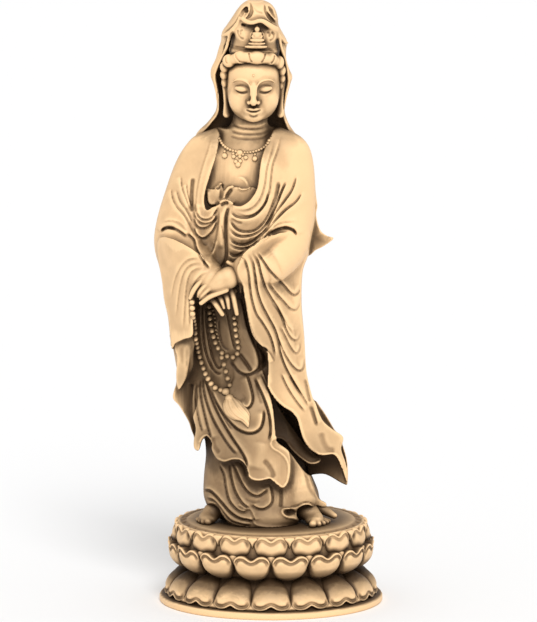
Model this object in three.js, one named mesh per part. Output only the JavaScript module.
// A standing robed bodhisattva with a string of prayer beads, on a round double lotus plinth.
// The figure is modelled like clay: a grid of distances to which rounded forms are added or cut,
// and whose front is then carved with folds drawn on a front elevation.
import * as THREE from "three";

// Driving dimensions, in millimetres.
const BASE_RADIUS = 55.7;
const BASE_THICKNESS = 3.5;
const PLINTH_HEIGHT = 41;
const SEAT_RADIUS = 43.8;
const WAIST_RADIUS = 41;
const WAIST_HEIGHT = 17.5;
const PETALS_PER_ROW = 16;
const FIGURE_HEIGHT = 262;

// The figure's own numbers are millimetres on a figure of this height, and scale with FIGURE_HEIGHT.
const MODELLED_HEIGHT = 262;
const FIGURE_TRIANGLES = 5800;
const CLAY_CELL = 1.35;

// The elevation is drawn at twice full size, looking down on the figure by this angle.
const VIEW_TILT = THREE.MathUtils.degToRad(10.3);
const DRAWING_SCALE = 2;
const TILT_SIN = Math.sin(VIEW_TILT);
const TILT_COS = Math.cos(VIEW_TILT);

const IVORY_RESIN = { roughness: 0.55, metalness: 0 };

const mix = (a, b, t) => a + (b - a) * t;
const clamp = (value, low, high) => Math.min(high, Math.max(low, value));
const smoothStep = (low, high, value) => {
  const t = clamp((value - low) / (high - low), 0, 1);
  return t * t * (3 - 2 * t);
};
const smoothMin = (a, b, blend) => {
  const t = clamp(0.5 + (b - a) / (2 * blend), 0, 1);
  return mix(b, a, t) - blend * t * (1 - t);
};

// A point of the drawing, at a depth behind the plinth's axis, as a point of the figure.
const seen = (across, up, depth) => {
  const height = (up / DRAWING_SCALE - depth * TILT_SIN) / TILT_COS;
  return [across / DRAWING_SCALE, depth, height];
};

// A smooth line through drawn points, in figure millimetres.
function drawnLine(points, pieces = 4 * points.length) {
  const curve = new THREE.SplineCurve(points.map(([x, y]) => new THREE.Vector2(x, y)));
  return curve.getPoints(pieces).map((p) => [p.x / DRAWING_SCALE, p.y / DRAWING_SCALE]);
}

// Distance from (u, v) to a line of points, and the share of the line where it is nearest.
function nearestOnLine(line, u, v) {
  let best = Infinity;
  let share = 0;
  for (let i = 1; i < line.length; i++) {
    const [au, av] = line[i - 1];
    const du = line[i][0] - au;
    const dv = line[i][1] - av;
    const t = clamp(((u - au) * du + (v - av) * dv) / (du * du + dv * dv), 0, 1);
    const distance = Math.hypot(u - au - t * du, v - av - t * dv);
    if (distance < best) {
      best = distance;
      share = (i - 1 + t) / (line.length - 1);
    }
  }
  return [best, share];
}

// A drawing raster: one number for each half millimetre of the elevation.
class Sheet {
  constructor(low, high, cell = 0.5) {
    this.low = low;
    this.cell = cell;
    this.wide = Math.ceil((high[0] - low[0]) / cell) + 1;
    this.tall = Math.ceil((high[1] - low[1]) / cell) + 1;
    this.values = new Float32Array(this.wide * this.tall);
  }

  change(low, high, compute) {
    const [i0, j0] = low.map((v, a) => Math.max(0, Math.floor((v - this.low[a]) / this.cell)));
    const i1 = Math.min(this.wide - 1, Math.ceil((high[0] - this.low[0]) / this.cell));
    const j1 = Math.min(this.tall - 1, Math.ceil((high[1] - this.low[1]) / this.cell));
    for (let i = i0; i <= i1; i++)
      for (let j = j0; j <= j1; j++) {
        const at = i * this.tall + j;
        const u = this.low[0] + i * this.cell;
        const v = this.low[1] + j * this.cell;
        this.values[at] = compute(this.values[at], u, v);
      }
  }

  read(u, v) {
    const x = clamp((u - this.low[0]) / this.cell, 0, this.wide - 1.001);
    const y = clamp((v - this.low[1]) / this.cell, 0, this.tall - 1.001);
    const i = Math.floor(x);
    const j = Math.floor(y);
    const at = i * this.tall + j;
    const near = mix(this.values[at], this.values[at + 1], y - j);
    const far = mix(this.values[at + this.tall], this.values[at + this.tall + 1], y - j);
    return mix(near, far, x - i);
  }
}

const SHEET_LOW = [-64, -20];
const SHEET_HIGH = [44, 272];

// The signed distance to a closed outline of the drawing, negative inside.
function outline(points) {
  const corners = [...points, points[0]];
  const line = drawnLine(corners, 5 * corners.length);
  const sheet = new Sheet(SHEET_LOW, SHEET_HIGH, 1);
  sheet.change(SHEET_LOW, SHEET_HIGH, (_, u, v) => {
    let inside = false;
    for (let i = 1; i < line.length; i++) {
      const [[au, av], [bu, bv]] = [line[i - 1], line[i]];
      if (av > v !== bv > v && u < au + ((v - av) * (bu - au)) / (bv - av)) inside = !inside;
    }
    const [distance] = nearestOnLine(line, u, v);
    return inside ? -distance : distance;
  });
  return sheet;
}

// Folds carved into the front: ridges stand out and grooves go in, in millimetres.
class Relief extends Sheet {
  stroke(points, width, height) {
    const line = drawnLine(points);
    const reach = 2.2 * width;
    const low = [0, 1].map((a) => Math.min(...line.map((p) => p[a])) - reach);
    const high = [0, 1].map((a) => Math.max(...line.map((p) => p[a])) + reach);
    this.change(low, high, (value, u, v) => {
      const [distance, share] = nearestOnLine(line, u, v);
      const fade = smoothStep(0, 0.18, share) * smoothStep(0, 0.18, 1 - share);
      return value + height * fade * Math.exp(-((distance / width) ** 2));
    });
  }

  // A row of like strokes, from a first line to a last one.
  family(first, last, count, width, height) {
    for (let n = 0; n < count; n++) {
      const share = count > 1 ? n / (count - 1) : 0;
      const line = first.map((p, i) => p.map((value, a) => mix(value, last[i][a], share)));
      this.stroke(line, width, height);
    }
  }
}

const FAR = 9;
const around = (points, reach) => [
  [0, 1, 2].map((a) => Math.min(...points.map((p) => p[a])) - reach),
  [0, 1, 2].map((a) => Math.max(...points.map((p) => p[a])) + reach),
];

// An ellipsoid, turned about the depth axis by a lean in degrees.
function ellipsoid(centre, radii, lean = 0) {
  const turn = THREE.MathUtils.degToRad(lean);
  const [cos, sin] = [Math.cos(turn), Math.sin(turn)];
  const distance = (x, y, h) => {
    const dx = x - centre[0];
    const dh = h - centre[2];
    const p = [cos * dx + sin * dh, y - centre[1], cos * dh - sin * dx];
    const k0 = Math.hypot(p[0] / radii[0], p[1] / radii[1], p[2] / radii[2]);
    const k1 = Math.hypot(p[0] / radii[0] ** 2, p[1] / radii[1] ** 2, p[2] / radii[2] ** 2);
    return k1 > 1e-6 ? (k0 * (k0 - 1)) / k1 : -Math.min(...radii);
  };
  return { box: around([centre], Math.max(...radii)), distance };
}

// A limb: a smooth path whose radius changes along it.
function limb(path, radii, pieces = 3 * path.length) {
  const curve = new THREE.CatmullRomCurve3(path.map((p) => new THREE.Vector3(...p)));
  const points = curve.getPoints(pieces).map((p) => p.toArray());
  const radiusAt = (share) => {
    const place = share * (radii.length - 1);
    const i = Math.min(Math.floor(place), radii.length - 2);
    return mix(radii[i], radii[i + 1], place - i);
  };
  const distance = (x, y, h) => {
    let best = Infinity;
    for (let i = 1; i < points.length; i++) {
      const [a, b] = [points[i - 1], points[i]];
      const d = [b[0] - a[0], b[1] - a[1], b[2] - a[2]];
      const along = (x - a[0]) * d[0] + (y - a[1]) * d[1] + (h - a[2]) * d[2];
      const t = clamp(along / (d[0] ** 2 + d[1] ** 2 + d[2] ** 2), 0, 1);
      const gap = Math.hypot(x - a[0] - t * d[0], y - a[1] - t * d[1], h - a[2] - t * d[2]);
      best = Math.min(best, gap - radiusAt((i - 1 + t) / (points.length - 1)));
    }
    return best;
  };
  return { box: around(points, Math.max(...radii)), distance };
}

// A body of rounded sections, listed from the bottom up: height, left, right, front, back.
function sections(stations, power = 2.3) {
  const [bottom, top] = [stations[0][0], stations.at(-1)[0]];
  const curve = (column) => (h) => {
    const i = clamp(stations.findIndex((s) => s[0] > h) - 1, 0, stations.length - 2);
    const [a, b] = [stations[i], stations[i + 1]];
    return mix(a[column], b[column], smoothBlend(clamp((h - a[0]) / (b[0] - a[0]), 0, 1)));
  };
  const smoothBlend = (t) => mix(t, t * t * (3 - 2 * t), 0.5);
  const [left, right, front, back] = [1, 2, 3, 4].map(curve);
  const distance = (x, y, h) => {
    const level = clamp(h, bottom, top - 0.01);
    const [l, r, f, b] = [left(level), right(level), front(level), back(level)];
    const [centreX, centreY] = [(l + r) / 2, (f + b) / 2];
    const [wide, deep] = [(r - l) / 2, (b - f) / 2];
    const reach = (Math.abs((x - centreX) / wide) ** power + Math.abs((y - centreY) / deep) ** power) ** (1 / power);
    const fromAxis = Math.hypot(x - centreX, y - centreY);
    const side = reach > 1e-3 ? fromAxis * (1 - 1 / reach) : -Math.min(wide, deep);
    return Math.max(side, bottom - h, h - top);
  };
  const corners = stations.flatMap(([h, l, r, f, b]) => [[l, f, h], [r, b, h]]);
  return { box: around(corners, 0), distance };
}

// A layer of cloth: an outline of the drawing between a front surface and a depth behind it.
function layer(points, front, thickness) {
  const shape = outline(points);
  const distance = (x, y, h) => {
    const v = h * TILT_COS + y * TILT_SIN;
    const face = front(x, v);
    return Math.max(shape.read(x, v), face - y, y - face - thickness);
  };
  const box = around(points.flatMap(([across, up]) => [
    seen(across, up, front(across / 2, up / 2)),
    seen(across, up, front(across / 2, up / 2) + thickness),
  ]), 1);
  return { box, distance };
}

class Clay {
  constructor(low, high, cell) {
    this.low = low;
    this.high = high;
    this.cell = cell;
    this.size = low.map((v, a) => Math.ceil((high[a] - v) / cell) + 1);
    this.field = new Float32Array(this.size[0] * this.size[1] * this.size[2]).fill(FAR);
  }

  at(i, j, k) {
    return (i * this.size[1] + j) * this.size[2] + k;
  }

  work([low, high], reach, change) {
    const from = low.map((v, a) => Math.max(0, Math.floor((v - reach - this.low[a]) / this.cell)));
    const to = high.map((v, a) =>
      Math.min(this.size[a] - 1, Math.ceil((v + reach - this.low[a]) / this.cell)));
    for (let i = from[0]; i <= to[0]; i++)
      for (let j = from[1]; j <= to[1]; j++)
        for (let k = from[2]; k <= to[2]; k++) {
          const at = this.at(i, j, k);
          const [x, y, h] = [i, j, k].map((n, a) => this.low[a] + n * this.cell);
          this.field[at] = change(this.field[at], x, y, h);
        }
  }

  add(form, blend = 1) {
    const reach = blend + 3 * this.cell;
    this.work(form.box, reach, (d, x, y, h) => smoothMin(d, form.distance(x, y, h), blend));
  }

  cut(form, blend = 1) {
    const reach = blend + 3 * this.cell;
    this.work(form.box, reach, (d, x, y, h) => -smoothMin(-d, form.distance(x, y, h), blend));
  }

  // Moves the front of the clay out by one relief and its back by another.
  carve(front, back) {
    this.work([this.low, this.high], 0, (d, x, y, h) => {
      const share = 1 - smoothStep(-8, 4, y);
      if (share > 0) return d - share * front.read(x, h * TILT_COS + y * TILT_SIN);
      return d - smoothStep(4, 12, y) * back.read(x, h);
    });
  }

  read(x, y, h) {
    const place = [x, y, h].map((v, a) => clamp((v - this.low[a]) / this.cell, 0, this.size[a] - 1.001));
    const [i, j, k] = place.map(Math.floor);
    const [s, t, w] = place.map((v) => v - Math.floor(v));
    const edge = (di, dj) => mix(this.field[this.at(i + di, j + dj, k)], this.field[this.at(i + di, j + dj, k + 1)], w);
    return mix(mix(edge(0, 0), edge(0, 1), t), mix(edge(1, 0), edge(1, 1), t), s);
  }

  // The point of the surface that is seen at a drawn point.
  facing(across, up) {
    for (let depth = this.low[1]; depth < this.high[1]; depth += 0.25) {
      const point = seen(across, up, depth);
      if (this.read(...point) < 0) return point;
    }
    return seen(across, up, 0);
  }
}

const CORNERS = [0, 1, 2, 3, 4, 5, 6, 7].map((n) => [n & 1, (n >> 1) & 1, (n >> 2) & 1]);
const EDGES = CORNERS.flatMap((_, a) => [1, 2, 4].filter((bit) => !(a & bit)).map((bit) => [a, a | bit]));

// Whether the full corners of a cell, or the empty ones, fall in two groups, or cross on a face.
function torn(mask) {
  const groups = CORNERS.map((_, n) => n);
  for (let pass = 0; pass < 4; pass++)
    for (const [a, b] of EDGES)
      if (((mask >> a) & 1) === ((mask >> b) & 1)) groups[a] = groups[b] = Math.min(groups[a], groups[b]);
  if (new Set(groups).size > 2) return true;
  return [[0, 1, 2, 3], [4, 5, 6, 7], [0, 1, 4, 5], [2, 3, 6, 7], [0, 2, 4, 6], [1, 3, 5, 7]].some((face) => {
    const [a, b, c, d] = face.map((n) => (mask >> n) & 1);
    return a === d && b === c && a !== b;
  });
}

// Fills the cells where the surface would touch itself.
function mendTears({ size, field }, offsets) {
  const isTorn = Array.from({ length: 256 }, (_, mask) => torn(mask));
  for (let filled = 1; filled > 0; ) {
    filled = 0;
    for (let i = 0; i < size[0] - 1; i++)
      for (let j = 0; j < size[1] - 1; j++)
        for (let k = 0; k < size[2] - 1; k++) {
          const base = (i * size[1] + j) * size[2] + k;
          let mask = 0;
          for (let n = 0; n < 8; n++) if (field[base + offsets[n]] < 0) mask |= 1 << n;
          if (!isTorn[mask]) continue;
          let least = -1;
          for (let n = 0; n < 8; n++) {
            const place = base + offsets[n];
            if (field[place] >= 0 && (least < 0 || field[place] < field[least])) least = place;
          }
          field[least] = -0.02;
          filled++;
        }
  }
}

// One vertex for each cell that the surface crosses, and a quad for each crossed edge.
function skinOf(clay) {
  const { size, field, low, cell } = clay;
  const offsets = CORNERS.map(([a, b, c]) => (a * size[1] + b) * size[2] + c);
  mendTears(clay, offsets);
  const vertexOf = new Int32Array(field.length).fill(-1);
  const vertices = [];
  for (let i = 0; i < size[0] - 1; i++)
    for (let j = 0; j < size[1] - 1; j++)
      for (let k = 0; k < size[2] - 1; k++) {
        const base = clay.at(i, j, k);
        const values = offsets.map((offset) => field[base + offset]);
        const full = values.filter((v) => v < 0).length;
        if (full === 0 || full === 8) continue;
        const sum = [0, 0, 0];
        let count = 0;
        for (const [a, b] of EDGES) {
          if (values[a] < 0 === values[b] < 0) continue;
          const t = values[a] / (values[a] - values[b]);
          for (let axis = 0; axis < 3; axis++) sum[axis] += mix(CORNERS[a][axis], CORNERS[b][axis], t);
          count++;
        }
        vertexOf[base] = vertices.length;
        vertices.push([i, j, k].map((n, axis) => low[axis] + (n + sum[axis] / count) * cell));
      }
  const triangles = [];
  const steps = [[1, 0, 0], [0, 1, 0], [0, 0, 1]];
  for (let i = 1; i < size[0] - 1; i++)
    for (let j = 1; j < size[1] - 1; j++)
      for (let k = 1; k < size[2] - 1; k++)
        steps.forEach((step, axis) => {
          const here = field[clay.at(i, j, k)] < 0;
          if (here === field[clay.at(i + step[0], j + step[1], k + step[2])] < 0) return;
          const [p, q] = [steps[(axis + 1) % 3], steps[(axis + 2) % 3]];
          const ring = [[1, 1], [0, 1], [0, 0], [1, 0]].map(([m, n]) =>
            vertexOf[clay.at(i - m * p[0] - n * q[0], j - m * p[1] - n * q[1], k - m * p[2] - n * q[2])]);
          if (!here) ring.reverse();
          triangles.push([ring[0], ring[1], ring[2]], [ring[0], ring[2], ring[3]]);
        });
  return { vertices, triangles: largestShell(vertices.length, triangles) };
}

// The triangles of the shell that has the most of them.
function largestShell(count, triangles) {
  const parent = Int32Array.from({ length: count }, (_, n) => n);
  const rootOf = (n) => {
    while (parent[n] !== n) n = parent[n] = parent[parent[n]];
    return n;
  };
  for (const [a, b, c] of triangles) {
    parent[rootOf(a)] = rootOf(b);
    parent[rootOf(b)] = rootOf(c);
  }
  const counts = new Map();
  for (const [a] of triangles) counts.set(rootOf(a), (counts.get(rootOf(a)) ?? 0) + 1);
  const largest = [...counts].reduce((best, next) => (next[1] > best[1] ? next : best))[0];
  return triangles.filter(([a]) => rootOf(a) === largest);
}

// Merges the cheapest edges, by how far the merged vertex leaves the planes around it, and keeps the mesh closed.
function fewerTriangles({ vertices, triangles }, wanted) {
  const normalOf = ([a, b, c]) => new THREE.Vector3().subVectors(vertices[b], vertices[a])
    .cross(new THREE.Vector3().subVectors(vertices[c], vertices[a]));
  vertices = vertices.map((v) => new THREE.Vector3(...v));
  const quadrics = vertices.map(() => new Float64Array(10));
  const facesAt = vertices.map(() => new Set());
  triangles = triangles.map((face) => [...face]);
  triangles.forEach((face, index) => {
    const normal = normalOf(face);
    const area = normal.length();
    normal.normalize();
    const plane = [normal.x, normal.y, normal.z, -normal.dot(vertices[face[0]])];
    for (const corner of face) {
      facesAt[corner].add(index);
      let n = 0;
      for (let a = 0; a < 4; a++) for (let b = a; b < 4; b++) quadrics[corner][n++] += area * plane[a] * plane[b];
    }
  });
  const misfit = (q, { x, y, z }) =>
    q[0] * x * x + 2 * q[1] * x * y + 2 * q[2] * x * z + 2 * q[3] * x + q[4] * y * y +
    2 * q[5] * y * z + 2 * q[6] * y + q[7] * z * z + 2 * q[8] * z + q[9];
  const neighboursOf = (v) => {
    const found = new Set();
    for (const f of facesAt[v]) triangles[f].forEach((n) => n !== v && found.add(n));
    return found;
  };
  const versions = new Int32Array(vertices.length);
  const plan = (a, b) => {
    const q = quadrics[a].map((value, n) => value + quadrics[b][n]);
    const middle = vertices[a].clone().lerp(vertices[b], 0.5);
    const choices = [vertices[a], vertices[b], middle];
    const costs = choices.map((p) => misfit(q, p));
    const best = costs.indexOf(Math.min(...costs));
    const length = vertices[a].distanceTo(vertices[b]);
    return { a, b, place: choices[best], cost: costs[best] + 1e-4 * length ** 3, stamp: [versions[a], versions[b]] };
  };
  const heap = [];
  const swap = (i, j) => ([heap[i], heap[j]] = [heap[j], heap[i]]);
  const push = (item) => {
    let i = heap.push(item) - 1;
    for (let up = (i - 1) >> 1; i > 0 && heap[up].cost > heap[i].cost; i = up, up = (i - 1) >> 1) swap(i, up);
  };
  const pop = () => {
    swap(0, heap.length - 1);
    const item = heap.pop();
    for (let i = 0; ; ) {
      let least = i;
      for (const child of [2 * i + 1, 2 * i + 2])
        if (child < heap.length && heap[child].cost < heap[least].cost) least = child;
      if (least === i) return item;
      swap(i, least);
      i = least;
    }
  };
  vertices.forEach((_, v) => neighboursOf(v).forEach((n) => v < n && push(plan(v, n))));
  const flips = (v, other, place) => {
    for (const f of facesAt[v]) {
      if (triangles[f].includes(other)) continue;
      const before = normalOf(triangles[f]);
      const kept = vertices[v];
      vertices[v] = place;
      const after = normalOf(triangles[f]);
      vertices[v] = kept;
      if (before.dot(after) < 0.2 * before.length() * after.length() || after.length() < 0.02) return true;
    }
    return false;
  };
  let left = triangles.length;
  while (left > wanted && heap.length) {
    const { a, b, place, stamp } = pop();
    if (stamp[0] !== versions[a] || stamp[1] !== versions[b]) continue;
    const shared = [...facesAt[a]].filter((f) => facesAt[b].has(f));
    const common = [...neighboursOf(a)].filter((n) => neighboursOf(b).has(n));
    if (shared.length !== 2 || common.length !== 2) continue;
    if (flips(a, b, place) || flips(b, a, place)) continue;
    vertices[a] = place.clone();
    quadrics[a] = quadrics[a].map((value, n) => value + quadrics[b][n]);
    for (const f of shared) {
      triangles[f].forEach((n) => facesAt[n].delete(f));
      triangles[f] = null;
      left--;
    }
    for (const f of facesAt[b]) {
      triangles[f] = triangles[f].map((n) => (n === b ? a : n));
      facesAt[a].add(f);
    }
    facesAt[b].clear();
    versions[b]++;
    versions[a]++;
    for (const n of neighboursOf(a)) push(plan(a, n));
  }
  const used = new Map();
  const kept = triangles.filter(Boolean).map((face) =>
    face.map((v) => {
      if (!used.has(v)) used.set(v, used.size);
      return used.get(v);
    }));
  return { vertices: [...used.keys()].map((v) => vertices[v]), triangles: kept };
}

// The cloak that hangs from the shoulders over both arms.
const cloak = () => sections([
  [70, -46, 16.5, -14, 18], [93, -50, 16, -15, 18], [109, -52, 15, -15, 19], [125, -54.5, 15.5, -15, 19],
  [134, -57.5, 18.5, -16, 19], [142, -58.3, 20, -16, 19], [150, -57.2, 21.5, -16, 19],
  [158, -55.2, 22, -15, 18], [168, -52, 22, -14, 17], [176, -49.3, 21.6, -13, 16], [183, -46.2, 20.6, -11, 15],
  [189, -42.5, 18.6, -9, 12], [194, -37.5, 14, -7, 10], [198, -27, 5, -6, 9],
]);

const skirt = () => sections([
  [0, -25, 14, -25, 14], [5, -31, 22, -25, 15], [12, -34, 26, -24, 17], [22, -34, 21, -22, 18],
  [34, -33, 16, -22, 18], [46, -35, 15, -22, 19], [62, -38, 14, -22, 19], [90, -40, 13, -18, 19],
  [130, -42, 10, -16, 18],
]);

const torso = () => sections([
  [120, -38, 8, -20, 14], [140, -37, 10, -20, 14], [160, -36, 10, -19, 14], [180, -32, 8, -16, 12],
  [192, -24, 3, -9, 10], [200, -19, -2, -8, 8],
]);

// Where each arm runs inside its sleeve.
const rightArm = () => limb([[-34, 1, 181], [-40, -1, 160], [-43, -7, 142], [-38, -18, 131], [-30, -24, 126]],
  [8, 10.5, 12, 11, 8]);
const leftArm = () => limb([[8, 1, 181], [9, -1, 162], [8, -8, 143], [0, -19, 134], [-14, -25, 130]],
  [8, 10, 11.5, 11, 8]);

function handForms() {
  const palm = ellipsoid(seen(-49, 238, -27.5), [7.2, 4.2, 4.6], 12);
  const wrist = limb([seen(-34, 242, -24), seen(-46, 240, -27)], [4.6, 4.4]);
  const upperFingers = [
    [[-62, 240], [-74, 233], [-80, 219]],
    [[-60, 236], [-69, 229], [-74, 223]],
    [[-58, 231], [-67, 224], [-71, 219]],
    [[-48, 228], [-60, 221], [-71, 214]],
  ].map((path) => limb(path.map(([x, y], n) => seen(x, y, -30 + n)), [1.9, 1.7, 1.2]));
  const lowerFingers = [
    [[-58, 221], [-53, 212], [-49, 204]],
    [[-52, 223], [-49, 217], [-47, 211]],
    [[-46, 225], [-43, 218], [-42, 210]],
    [[-41, 228], [-37, 217], [-35, 205]],
  ].map((path) => limb(path.map(([x, y]) => seen(x, y, -27)), [1.7, 1.5, 1.2]));
  return [palm, wrist, ...upperFingers, ...lowerFingers];
}

const HEAD_CENTRE = [-8.7, -3, 221];

function headForms() {
  const [x, y, h] = HEAD_CENTRE;
  const skull = ellipsoid([x, y + 3, h + 4], [14, 15, 14.5]);
  const jaw = ellipsoid([x, y - 2.5, h - 5], [11.8, 11.2, 12.6]);
  const nose = limb([[x, y - 13.4, h + 2], [x, y - 15.2, h - 4.5]], [1.2, 1.8]);
  const ears = [-1, 1].map((side) =>
    limb([[x + side * 13.4, 0, h + 3], [x + side * 13.4, -2, h - 5], [x + side * 12.6, -4, h - 15.5]], [2.2, 1.4, 1.8]));
  return [skull, jaw, nose, ...ears];
}

const neck = () => limb([[-9.6, 1, 191], [-8.9, 1, 212]], [10.6, 9]);
const topknot = () => limb([[-8.4, 0, 236], [-8, 1, 248]], [11.4, 9.6]);

// Rolls of hair along the brow.
function hairRolls() {
  const [x, y, h] = HEAD_CENTRE;
  return [-84, -58, -34, -11, 13, 36, 60, 86].map((angle) => {
    const turn = THREE.MathUtils.degToRad(angle);
    const lift = 12.5 - 9 * (1 - Math.cos(turn));
    return ellipsoid([x + 1 + 13 * Math.sin(turn), y + 4 - 14.5 * Math.cos(turn), h + lift], [3.6, 3, 3.4]);
  });
}

// The small seated figure on the front of the topknot, above its band.
function seatedFigure() {
  const middle = -8.2;
  return [
    ellipsoid([middle, -11.5, 240], [5.4, 2.4, 1.7]),
    ellipsoid([middle, -11.5, 243.4], [3.3, 2.4, 2.4]),
    ellipsoid([middle, -11.5, 246.6], [1.5, 1.7, 1.6]),
  ];
}

const band = () => sections([[235.5, -19.8, 3, -12.6, 10], [238, -19.5, 2.8, -12.6, 10]], 2);

// The veil's rolled edge over the brow of the topknot.
const brim = () => limb([
  seen(-34, 492, -8), seen(-28, 497, -12), seen(-19, 494, -14), seen(-9, 495, -14), seen(-1, 491, -12), seen(6, 486, -7),
], [1.6, 2, 2, 1.6]);

// The veil over the topknot: an outer shell, and the hollow that leaves the face free.
const veilOuter = () => sections([
  [186, -38, 16, 2, 17], [192, -37, 14, -1, 17], [196, -36, 11, -2, 16], [200.5, -31, 8, -3, 16],
  [206, -27.3, 6.7, -3, 16], [212, -27, 7.8, -3, 17], [219, -28.5, 9.5, -3, 17.5], [222, -29.5, 10.5, -3, 17.5],
  [226, -30, 9.3, -3, 17.5], [231, -28, 7.7, -3, 17], [237, -26, 7.5, -4, 16.5], [241, -24.8, 8, -6, 16],
  [246, -24, 5.5, -9, 15], [250, -22, 3.8, -12, 13], [254, -19.5, 3.2, -13, 11], [258, -17, 2, -12, 9],
  [261, -14.5, 0, -10, 6], [263, -11.5, -4, -6, 3],
], 2.2);
const veilHollow = () => sections([
  [196, -26, 6.5, -18, 8], [205, -25, 5.5, -18, 9], [225, -25, 6.5, -18, 10], [232, -23, 5.5, -18, 10],
  [240, -20, 4.5, -18, 9], [249, -16.5, 2.5, -18, 4],
], 2.2);

function footForms() {
  const rightFoot = limb([[-27, -6, 7], [-29, -15, 5], [-32, -22, 2.6]], [5.5, 4.6, 3]);
  const leftFoot = limb([[15, -8, 7], [19.5, -17, 5], [24, -24, 2.6]], [5.5, 4.6, 3]);
  const heel = limb([[22, -8, 3], [29, -14, 2]], [3.5, 2.2]);
  return [rightFoot, leftFoot, heel];
}

const leftSleeveFront = (u, v) => -25 + mix(0.008, 0.021, smoothStep(30, 100, v)) * (u + 12) ** 2;

const leftSleeve = () => layer([
  [-31, 256], [-28, 238], [-26, 218], [-23, 198], [-20, 183], [-13, 173], [-3, 166], [-3, 135], [4, 123],
  [14, 111], [20, 107], [26, 100], [29, 90], [31, 82], [37, 71], [45, 65], [54, 63], [62, 64], [67, 60],
  [71, 48], [73, 35], [76, 36], [75, 53], [70, 70], [72, 81], [61, 89], [52.5, 96.5], [47.5, 105], [44, 114], [41, 122], [37, 138],
  [35, 150], [33, 182], [30, 214], [31, 246], [36, 270], [10, 285],
], leftSleeveFront, 16);

const leftSleeveHollow = () => layer([
  [-6, 150], [6, 128], [20, 112], [32, 92], [40, 76], [54, 68], [66, 66], [73, 48], [76, 30], [60, 38],
  [40, 42], [32, 50], [16, 74], [4, 104], [-4, 128],
], (u, v) => leftSleeveFront(u, v) + 2.4, 11);

const leftSleeveBack = () => layer([
  [10, 110], [34, 56], [37, 44], [54, 44], [72, 35], [76, 36], [75, 60], [66, 84], [40, 120],
], (u) => -2 + 0.05 * Math.max(0, u - 10), 3);

const rightSleeve = () => layer([
  [-111, 280], [-70, 262], [-72, 240], [-77, 222], [-78, 200], [-77, 183], [-95, 175], [-99, 170], [-103, 200],
  [-106, 216], [-108, 232],
], (u) => -26 + 0.06 * Math.max(0, -38 - u) ** 2, 18);

const rightSleeveLining = () => layer([
  [-94, 190], [-76, 190], [-77, 140], [-83, 131], [-91, 129], [-93, 150],
], (u) => -19 + 0.04 * Math.max(0, -38 - u) ** 2, 14);

const cloakCorner = () => layer([
  [-94, 137], [-90, 150], [-74, 150], [-70, 110], [-74, 80], [-79, 87], [-82, 96], [-87, 105], [-92, 113], [-98, 121],
], () => -6, 14);

const apronFront = (u) => -25.5 + 0.012 * (u + 8) ** 2;
const apron = () => layer([
  [-72, 190], [-20, 190], [-4, 160], [-3, 130], [2, 100], [8, 84], [14, 78], [19, 62], [19, 50], [17, 38], [12, 31],
  [6, 36], [0, 40], [-6, 40], [-13, 38], [-20, 41], [-24, 50], [-30, 59], [-38, 58], [-46, 57], [-54, 61],
  [-60, 72], [-65, 83], [-70, 76], [-73, 68], [-77, 73], [-77, 82], [-76, 90], [-80, 110], [-76, 150],
], apronFront, 30);

const windblownTip = () => layer([
  [38, 345], [47, 315], [46, 304], [50, 288], [56, 282], [62, 280], [53, 273.5], [45, 270], [36, 267], [30, 300],
], () => 4, 4);

const trouserHem = () => layer([
  [12, 40], [34, 40], [40, 30], [53, 14], [51, 10], [36, 16], [26, 10], [12, 10],
], (u) => -20 + 0.008 * (u + 5) ** 2, 20);

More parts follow.
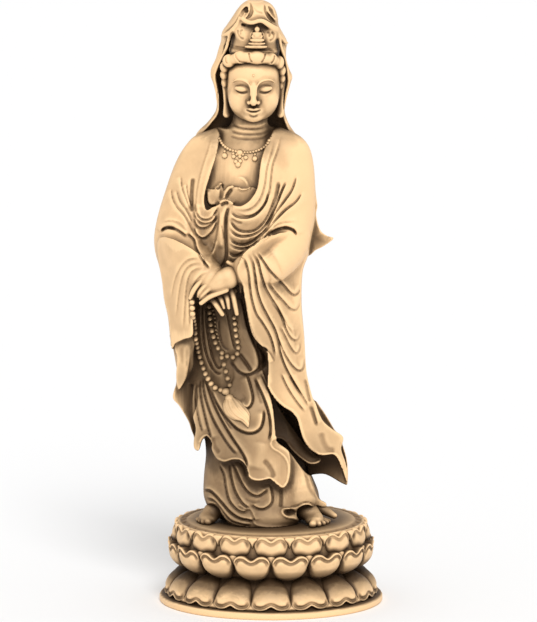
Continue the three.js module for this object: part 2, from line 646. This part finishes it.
// The folds, drawn on the elevation.
function foldRelief() {
  const relief = new Relief(SHEET_LOW, SHEET_HIGH);
  // The bare chest between the shawl's bands.
  relief.stroke([[-40, 380], [-38, 350], [-42, 325]], 9, -2.2);
  relief.stroke([[-20, 375], [-22, 350], [-26, 325]], 7, -1.8);
  relief.stroke([[-53, 380], [-60, 350], [-68, 322], [-70, 308], [-60, 302], [-50, 308]], 1.6, 2.2);
  relief.stroke([[2, 375], [-4, 350], [-8, 330], [-18, 314], [-34, 308], [-46, 312]], 1.6, 2.2);
  // Slots and creases that run down from the shoulders.
  relief.stroke([[-78, 342], [-79, 325], [-79, 306]], 1.3, -2.6);
  relief.family([[-92, 342], [-88, 325], [-80, 306]], [[-102, 332], [-94, 310], [-78, 284]], 3, 1.1, -1.3);
  relief.stroke([[8, 336], [4, 320], [-2, 298]], 1.5, -2.6);
  relief.family([[25, 348], [14, 322], [-1, 296]], [[33, 330], [16, 308], [-3, 286]], 3, 1.2, -1.4);
  // The creases over both elbows.
  relief.stroke([[-112, 286], [-104, 292], [-92, 288], [-76, 276]], 1.5, -2.6);
  relief.stroke([[27, 283], [18, 290], [2, 287], [-11, 277]], 1.6, -2.6);
  // The swags under the knot.
  relief.family([[-78, 308], [-74, 298], [-64, 298], [-54, 310]], [[-77, 280], [-72, 270], [-64, 274], [-54, 296]], 5, 1, -1.4);
  relief.family([[-42, 304], [-34, 296], [-18, 298], [-4, 318]], [[-42, 268], [-34, 262], [-22, 264], [-8, 282]], 6, 1, -1.5);
  relief.stroke([[-42, 314], [-45, 290], [-45, 262], [-49, 250]], 1.2, -2.4);
  // The sleeves' folds, from each wrist down to the hem.
  relief.family([[-78, 258], [-92, 252], [-101, 230], [-104, 205]], [[-64, 248], [-74, 238], [-80, 220], [-82, 188]], 4, 1.1, -1.3);
  relief.family([[-30, 262], [-21, 240], [-12, 205], [2, 168], [6, 140]], [[-22, 268], [0, 240], [20, 205], [30, 170], [32, 150]], 4, 1.5, -1.8);
  relief.family([[-12, 220], [0, 180], [12, 140], [26, 100]], [[8, 180], [18, 150], [28, 120], [40, 92]], 3, 1.5, -1.6);
  // The scarf's loops between the sleeves, and the dark gaps beside them.
  relief.stroke([[-71, 212], [-68, 180], [-60, 150], [-50, 144], [-46, 152]], 1.5, -3);
  relief.stroke([[-50, 210], [-44, 180], [-38, 166], [-33, 172]], 1.5, -3);
  relief.stroke([[-28, 214], [-22, 185], [-10, 162], [-12, 148], [-24, 146]], 1.6, -3);
  // The overskirt's long folds.
  relief.family([[-68, 150], [-62, 110], [-52, 70]], [[-60, 130], [-44, 96], [-24, 52]], 3, 1.3, -1.8);
  relief.stroke([[-60, 128], [-46, 103], [-30, 88], [-14, 90], [-8, 106]], 1.5, -2.2);
  relief.stroke([[-26, 145], [-20, 122], [-24, 110], [-34, 114]], 1.4, -2);
  relief.stroke([[-14, 145], [-2, 112], [4, 82]], 1.2, -1.6);
  // The underskirt's folds, down to the hem between the feet.
  relief.family([[-48, 56], [-42, 24], [-28, 10]], [[-36, 56], [-26, 28], [-12, 26], [0, 30]].slice(0, 3), 3, 1.2, -1.7);
  relief.stroke([[-38, 52], [-26, 26], [-14, 24], [-4, 30]], 1.3, -2);
  relief.stroke([[-20, 16], [-8, 9], [0, 16], [0, 34]], 1.2, -1.6);
  relief.stroke([[10, 34], [11, 16], [10, 6]], 1.3, -2);
  relief.family([[-68, 30], [-56, 26], [-42, 6], [-20, -2]], [[-60, 14], [-48, 10], [-38, -4], [-22, -8]], 2, 1.2, -1.6);
  return relief;
}

// The long folds down the back of the cloak, drawn as on the front elevation.
function backRelief() {
  const relief = new Relief(SHEET_LOW, SHEET_HIGH);
  relief.family([[-70, 372], [-92, 300], [-92, 200], [-86, 142]], [[20, 372], [28, 300], [18, 200], [20, 142]], 6, 2.6, -1.7);
  relief.family([[-60, 130], [-56, 70], [-62, 4]], [[16, 130], [16, 70], [30, 4]], 5, 2.6, -1.5);
  return relief;
}

// The prayer beads' strands, drawn on the elevation, and the tassel that they end in.
const BEAD_RADIUS = 1.45;
const BEAD_PITCH = 2.9;
const STRANDS = [
  [[-78, 217], [-78, 196], [-75, 173], [-68, 152], [-58, 132], [-48, 128]],
  [[-62, 212], [-61, 195], [-59, 183], [-49, 167], [-39, 162], [-33, 166], [-34, 183], [-36, 199]],
  [[-48, 158], [-44, 145], [-41, 134], [-45, 127]],
];

function beadForms(clay) {
  const beads = [];
  for (const strand of STRANDS) {
    const curve = new THREE.SplineCurve(strand.map(([x, y]) => new THREE.Vector2(x, y)));
    const count = Math.round(curve.getLength() / DRAWING_SCALE / BEAD_PITCH);
    for (const { x, y } of curve.getSpacedPoints(count)) {
      const [px, depth, h] = clay.facing(x, y);
      beads.push(ellipsoid([px, depth, h], [BEAD_RADIUS, BEAD_RADIUS, BEAD_RADIUS]));
    }
  }
  return beads;
}

function tasselForm(clay) {
  const path = [[-44, 122], [-38, 111], [-30, 101], [-23, 93]].map(([x, y]) => clay.facing(x, y));
  return limb(path, [2.2, 4, 3.6, 1]);
}

function sculptFigure() {
  const clay = new Clay([-64, -38, -4], [46, 27, 266], CLAY_CELL);
  clay.add(skirt(), 2);
  clay.add(cloak(), 3);
  clay.add(torso(), 3);
  clay.add(apron(), 0.8);
  clay.add(trouserHem(), 1.5);
  clay.add(leftArm(), 3);
  clay.add(rightArm(), 3);
  clay.add(leftSleeve(), 1.5);
  clay.add(rightSleeve(), 1.5);
  clay.cut(leftSleeveHollow(), 0.8);
  clay.add(leftSleeveBack(), 0.8);
  clay.add(rightSleeveLining(), 0.8);
  clay.add(cloakCorner(), 0.8);
  clay.add(windblownTip(), 1);
  clay.carve(foldRelief(), backRelief());
  clay.add(veilOuter(), 1.5);
  clay.cut(veilHollow(), 1);
  clay.add(topknot(), 1);
  clay.add(band(), 0.5);
  clay.add(brim(), 1);
  for (const form of headForms()) clay.add(form, 1.5);
  clay.add(neck(), 1);
  for (const form of [...hairRolls(), ...seatedFigure()]) clay.add(form, 0.6);
  for (const form of footForms()) clay.add(form, 1);
  for (const form of handForms()) clay.add(form, 0.6);
  clay.add(tasselForm(clay), 0.5);
  for (const bead of beadForms(clay)) clay.add(bead, 0.4);
  // The sole is flat where it stands on the seat.
  clay.work([clay.low, clay.high], 0, (d, x, y, h) => Math.max(d, -h));
  return clay;
}

function geometryOf({ vertices, triangles }) {
  const positions = vertices.flatMap((v) => [v.x, v.y, v.z]);
  return new THREE.BufferGeometry()
    .setAttribute("position", new THREE.Float32BufferAttribute(positions, 3))
    .setIndex(triangles.flat());
}

function figureGeometry() {
  const skin = fewerTriangles(skinOf(sculptFigure()), FIGURE_TRIANGLES);
  const lowest = Math.min(...skin.vertices.map((v) => v.z));
  const highest = Math.max(...skin.vertices.map((v) => v.z));
  const flatten = 0.45 * CLAY_CELL;
  for (const v of skin.vertices) if (v.z < lowest + flatten) v.z = lowest;
  // The heights close up to the modelled height, and then the whole figure takes its real size.
  const stretch = MODELLED_HEIGHT / (highest - lowest);
  const unit = FIGURE_HEIGHT / MODELLED_HEIGHT;
  return geometryOf(skin).translate(0, 0, -lowest).scale(unit, unit, unit * stretch);
}

// The plinth is turned, with three rows of petals that swell out between narrow valleys.
const SEGMENTS_PER_PETAL = 6;

// Each ring from the underside up: how far it lies outside the waist and its height, first in the
// valleys and then on the petals' crests, and by what share of a petal its row is turned.
function plinthRings() {
  const lip = BASE_THICKNESS;
  const step = (share) => mix(WAIST_HEIGHT, PLINTH_HEIGHT, share);
  return [
    [7.5, lip, 12.4, lip + 0.2, 0], [7, lip + 1.5, 13.4, lip + 1.3, 0], [6.5, lip + 3.5, 12.7, lip + 4.2, 0],
    [5.5, lip + 6.5, 11, lip + 8, 0], [4, lip + 10, 7.6, lip + 11.8, 0], [0.5, step(-0.02), 2, step(0), 0],
    [0.5, step(0.04), 3.4, step(0.05), 0.5], [4, step(0.15), 8.6, step(0.15), 0.5],
    [5.5, step(0.26), 10.6, step(0.32), 0.5], [5.6, step(0.33), 11, step(0.55), 0.5],
    [4.8, step(0.32), 9.2, step(0.53), 0.5], [4.2, step(0.36), 6.4, step(0.42), 0],
    [5, step(0.57), 8.7, step(0.6), 0], [5.1, step(0.74), 8.1, step(0.8), 0],
    [5, step(0.85), 7.2, step(0.97), 0], [4.6, step(0.84), 6, step(0.95), 0], [3.4, step(0.86), 3.6, step(0.9), 0],
  ].map(([valley, low, crest, high, turn]) => [WAIST_RADIUS + valley, low, WAIST_RADIUS + crest, high, turn]);
}

// How full a petal is at an angle: 1 down its middle, 0 in the valley beside it.
function fullness(angle, turn) {
  const across = (angle * PETALS_PER_ROW) / (2 * Math.PI) + turn;
  const fromMiddle = Math.abs(across - Math.round(across)) * 2;
  return Math.sqrt(Math.max(0, 1 - fromMiddle ** 2.6));
}

// Each vertex is drawn towards the valleys, which keeps them narrow.
function towardsValley(angle, turn) {
  const across = (angle * PETALS_PER_ROW) / (2 * Math.PI) + turn;
  const fromMiddle = across - Math.round(across);
  const wider = Math.sign(fromMiddle) * Math.sqrt(Math.abs(fromMiddle) / 2);
  return angle + ((wider - fromMiddle) * 2 * Math.PI) / PETALS_PER_ROW;
}

function plinthGeometry() {
  const plain = (radius, height) => [radius, height, radius, height, 0];
  const rings = [
    plain(0, 0), plain(BASE_RADIUS, 0), plain(BASE_RADIUS, BASE_THICKNESS), ...plinthRings(),
    plain(SEAT_RADIUS, PLINTH_HEIGHT - 1.2), plain(SEAT_RADIUS - 2.5, PLINTH_HEIGHT), plain(0, PLINTH_HEIGHT),
  ];
  const profile = rings.map(([radius, height]) => new THREE.Vector2(radius, height));
  const geometry = new THREE.LatheGeometry(profile, PETALS_PER_ROW * SEGMENTS_PER_PETAL);
  const position = geometry.attributes.position;
  const point = new THREE.Vector3();
  for (let n = 0; n < position.count; n++) {
    const [valley, low, crest, high, turn] = rings[n % rings.length];
    point.fromBufferAttribute(position, n);
    const flat = valley === crest;
    const plainAngle = Math.atan2(point.x, point.z);
    const angle = flat ? plainAngle : towardsValley(plainAngle, turn);
    const full = fullness(angle, turn);
    const radius = mix(valley, crest, full);
    position.setXYZ(n, radius * Math.sin(angle), mix(low, high, full), radius * Math.cos(angle));
  }
  return geometry.rotateX(Math.PI / 2);
}

function piece(name, geometry, color) {
  const mesh = new THREE.Mesh(geometry, new THREE.MeshStandardMaterial({ color, ...IVORY_RESIN }));
  mesh.name = name;
  return mesh;
}

const statue = new THREE.Group();
const figure = piece("guanyin_figure", figureGeometry(), 0xe8c99a);
figure.position.z = PLINTH_HEIGHT;
statue.add(figure, piece("lotus_plinth", plinthGeometry(), 0xe2c08f));

export default statue;
